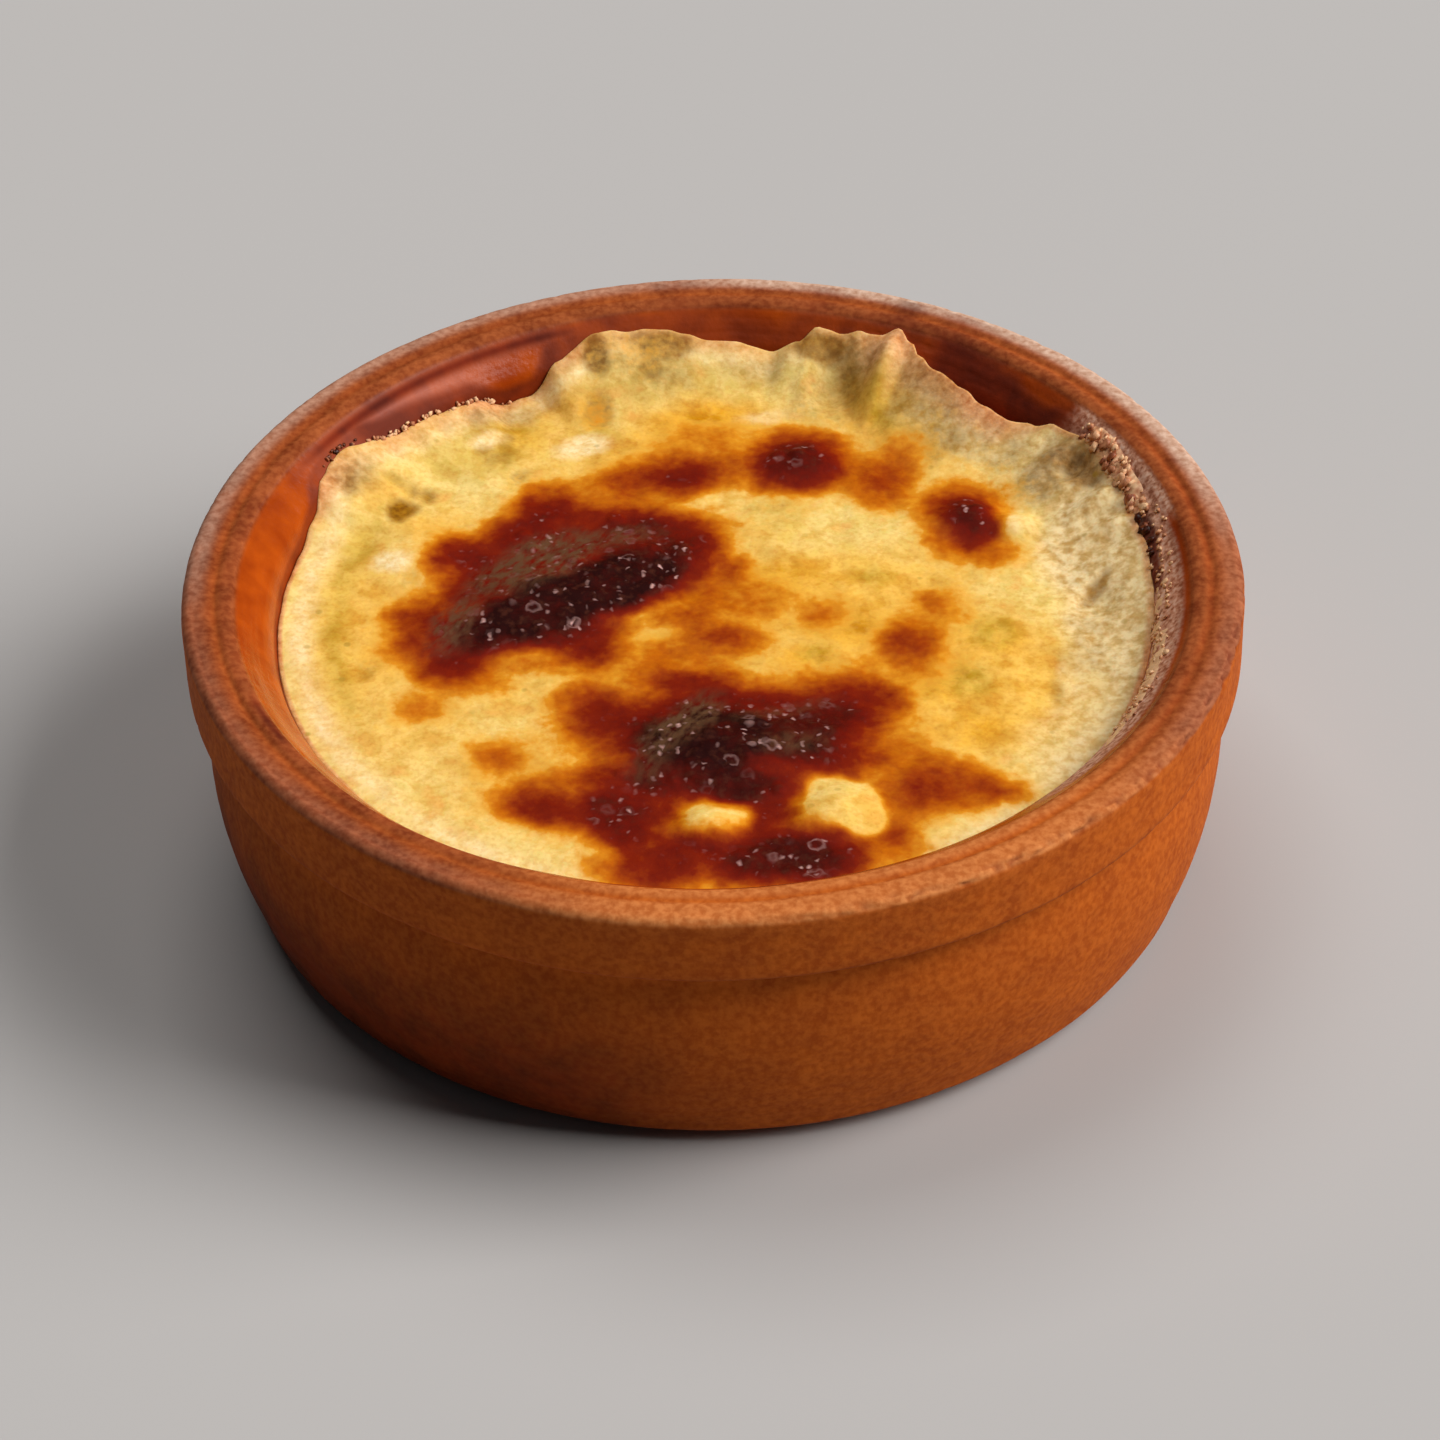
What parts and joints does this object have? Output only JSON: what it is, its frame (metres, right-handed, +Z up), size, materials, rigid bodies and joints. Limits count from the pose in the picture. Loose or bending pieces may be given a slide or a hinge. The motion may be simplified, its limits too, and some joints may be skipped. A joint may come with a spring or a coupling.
{
  "type": "rice pudding",
  "caption": "Baked rice pudding with a puckered, scorched skin in a shallow round terracotta dish with a collared rim.",
  "frame": {"origin": "centre of the dish's base, on the surface it stands on", "axes": "+Z up; -Y is the front, from where the pudding is seen, +X is to the right, and the skin has climbed the wall at +Y"},
  "size_m": [0.131, 0.131, 0.0398],
  "materials": {
    "terracotta": "unglazed fired red clay, matt, with a thin clear glaze inside the dish",
    "baked_milk_skin": "baked milk skin, satin, pale cream with orange, brown and black scorch marks"
  },
  "bodies": {
    "root": {"dish": "terracotta", "pudding": "baked_milk_skin"}
  },
  "joints": []
}
